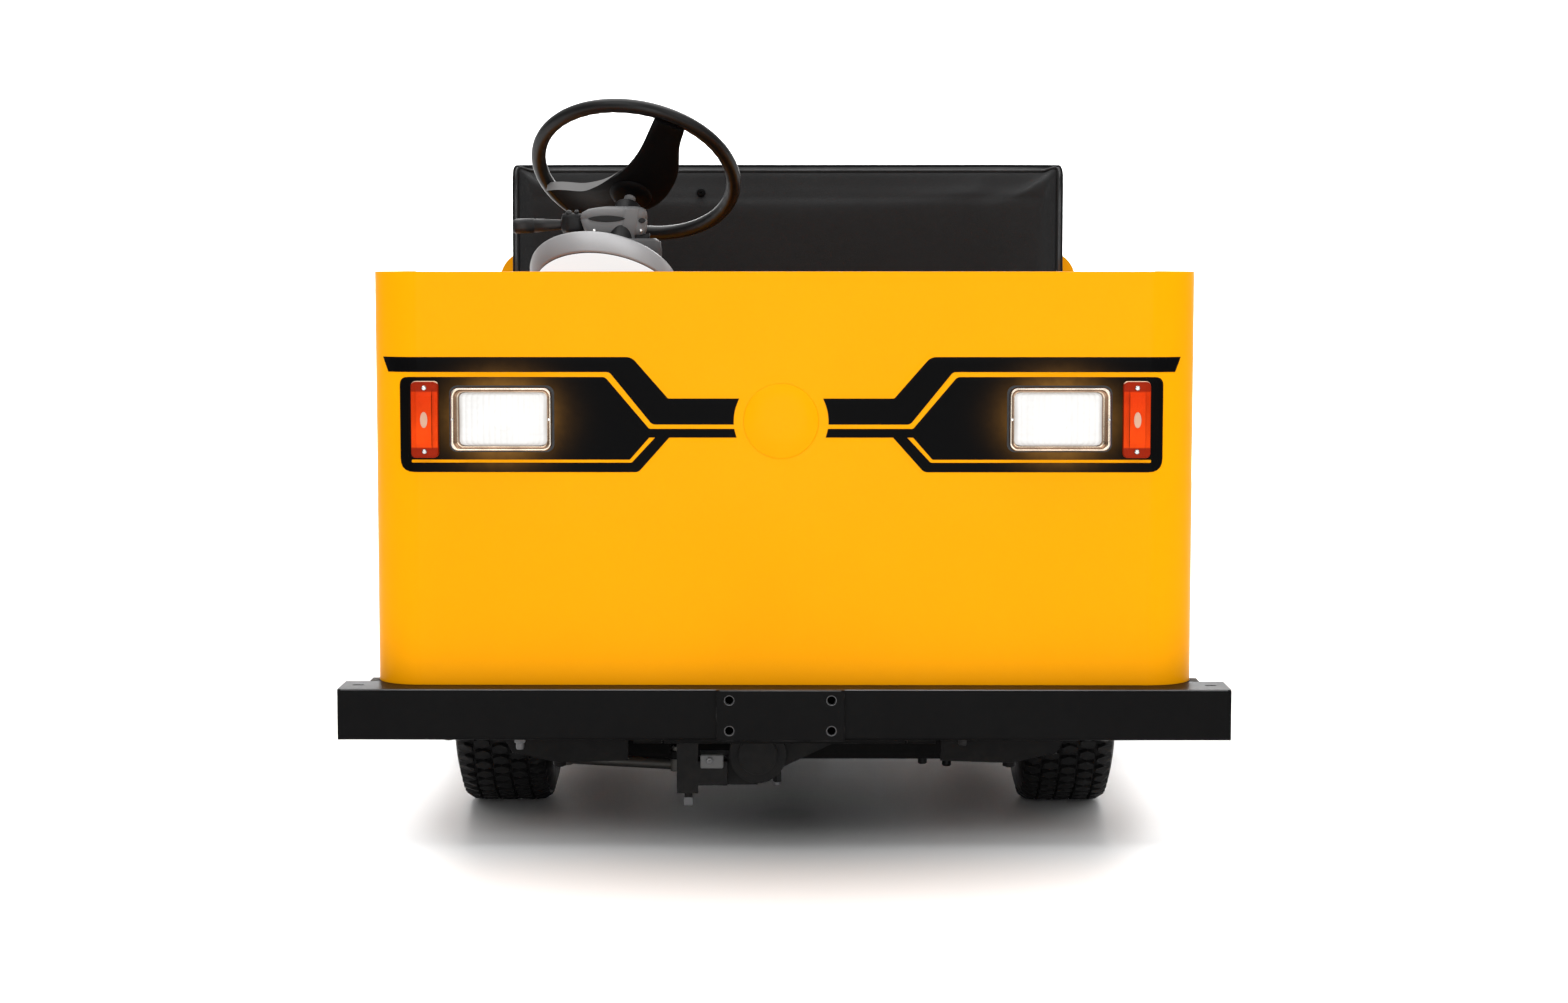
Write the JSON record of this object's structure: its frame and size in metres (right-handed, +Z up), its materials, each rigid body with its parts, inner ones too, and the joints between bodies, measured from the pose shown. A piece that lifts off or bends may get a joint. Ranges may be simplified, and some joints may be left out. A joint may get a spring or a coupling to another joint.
{
  "type": "platform truck",
  "caption": "Electric platform truck: a flat load deck behind a one-bench driver's bay with a tall front cowl, steered front wheels and a tow jaw.",
  "frame": {"origin": "on the ground under the middle of the overall length and width", "axes": "+Z up, +Y rearwards, +X to the truck's left; the front faces -Y"},
  "size_m": [1.514, 3.5, 1.2893],
  "materials": {
    "body_yellow": "gloss",
    "bumper_black": "satin",
    "frame_black": "satin",
    "gasket_grey": "matte",
    "bright_trim": "polished",
    "lamp_lens": "ribbed",
    "marker_orange": "gloss",
    "floor_black": "ribbed mat",
    "housing_grey": "cast",
    "zinc_steel": "zinc plated",
    "spring_steel": "satin",
    "battery_case": "moulded",
    "seat_vinyl": "grained vinyl",
    "deck_steel": "tread plate",
    "deck_edge": "gloss",
    "tail_red": "gloss",
    "column_black": "satin",
    "pod_white": "gloss",
    "switch_grey": "moulded",
    "pedal_rubber": "ribbed",
    "lid_board": "satin",
    "wheel_black": "moulded",
    "tyre_rubber": "tread",
    "rim_paint": "satin"
  },
  "bodies": {
    "root": {"front_bumper": "bumper_black", "bumper_plate": "bumper_black", "bumper_stays": "frame_black", "cowl": "body_yellow", "headlamp_gaskets": "gasket_grey", "headlamp_rims": "bright_trim", "headlamp_lenses": "lamp_lens", "marker_lamps": "marker_orange", "floor": "floor_black", "wheel_boxes": "body_yellow", "frame_rail_left": "frame_black", "frame_rail_right": "frame_black", "crossmembers": "frame_black", "front_housing": "housing_grey", "front_axle_beam": "frame_black", "kingpins": "zinc_steel", "front_springs": "spring_steel", "rear_springs": "spring_steel", "rear_axle": "frame_black", "drive_motor": "housing_grey", "battery": "battery_case", "seat_box": "body_yellow", "seat_hinges": "zinc_steel", "bulkhead": "body_yellow", "seat_back": "seat_vinyl", "deck": "deck_steel", "deck_side_rims": "deck_edge", "deck_end_rims": "deck_edge", "deck_bearers": "frame_black", "side_panels": "body_yellow", "tail_panel": "body_yellow", "tail_lamps": "tail_red", "tow_hitch": "frame_black", "dash_bar": "frame_black", "steering_column": "column_black", "instrument_pod": "pod_white", "column_switch": "switch_grey", "lower_shaft": "zinc_steel", "pedals": "pedal_rubber", "steering_gear": "housing_grey"},
    "seat_lid": {"seat_lid": "lid_board", "seat_cushion": "seat_vinyl"},
    "steering_wheel": {"steering_wheel": "wheel_black"},
    "knuckle_left": {"knuckle_left": "frame_black"},
    "knuckle_right": {"knuckle_right": "frame_black"},
    "tie_rod": {"tie_rod": "zinc_steel"},
    "drop_arm": {"drop_arm": "frame_black"},
    "drag_link": {"drag_link": "zinc_steel"},
    "front_left_wheel": {"front_left_tyre": "tyre_rubber", "front_left_rim": "rim_paint"},
    "front_right_wheel": {"front_right_tyre": "tyre_rubber", "front_right_rim": "rim_paint"},
    "rear_left_wheel": {"rear_left_tyre": "tyre_rubber", "rear_left_rim": "rim_paint"},
    "rear_right_wheel": {"rear_right_tyre": "tyre_rubber", "rear_right_rim": "rim_paint"}
  },
  "joints": [
    {"name": "steer_left", "type": "hinge", "parent": "root", "child": "knuckle_left", "pos_m": [0.4, -1.282, 0.27], "axis": [0, 0, 1], "range_deg": [-26, 26]},
    {"name": "steer_right", "type": "hinge", "parent": "root", "child": "knuckle_right", "pos_m": [-0.4, -1.282, 0.27], "axis": [0, 0, 1], "range_deg": [-26, 26]},
    {"name": "steering_wheel_turn", "type": "hinge", "parent": "root", "child": "steering_wheel", "pos_m": [-0.281, -1.15, 1.162], "axis": [0.1385, 0.5999, 0.788], "range_deg": [-390, 390]},
    {"name": "tie_rod_eye", "type": "hinge", "parent": "knuckle_left", "child": "tie_rod", "pos_m": [0.4, -1.152, 0.113], "axis": [0, 0, 1], "range_deg": [-26, 26]},
    {"name": "drop_arm_swing", "type": "hinge", "parent": "root", "child": "drop_arm", "pos_m": [-0.19, -1.345, 0.18], "axis": [0, 0, 1], "range_deg": [-26, 26]},
    {"name": "drag_link_eye", "type": "hinge", "parent": "drop_arm", "child": "drag_link", "pos_m": [-0.19, -1.475, 0.113], "axis": [0, 0, 1], "range_deg": [-26, 26]},
    {"name": "seat_lid_tip", "type": "hinge", "parent": "root", "child": "seat_lid", "pos_m": [0, -0.8, 0.632], "axis": [1, 0, 0], "range_deg": [0, 75]},
    {"name": "front_left_roll", "type": "hinge", "parent": "knuckle_left", "child": "front_left_wheel", "pos_m": [0.507, -1.282, 0.27], "axis": [1, 0, 0], "continuous": true},
    {"name": "front_right_roll", "type": "hinge", "parent": "knuckle_right", "child": "front_right_wheel", "pos_m": [-0.507, -1.282, 0.27], "axis": [1, 0, 0], "continuous": true},
    {"name": "rear_left_roll", "type": "hinge", "parent": "root", "child": "rear_left_wheel", "pos_m": [0.507, 0.81, 0.27], "axis": [1, 0, 0], "continuous": true},
    {"name": "rear_right_roll", "type": "hinge", "parent": "root", "child": "rear_right_wheel", "pos_m": [-0.507, 0.81, 0.27], "axis": [1, 0, 0], "continuous": true}
  ],
  "couplings": [
    {"joint": "steer_right", "follows": "steer_left", "ratio": 1},
    {"joint": "steering_wheel_turn", "follows": "steer_left", "ratio": 15},
    {"joint": "tie_rod_eye", "follows": "steer_left", "ratio": -1},
    {"joint": "drop_arm_swing", "follows": "steer_left", "ratio": 1},
    {"joint": "drag_link_eye", "follows": "steer_left", "ratio": -1}
  ]
}
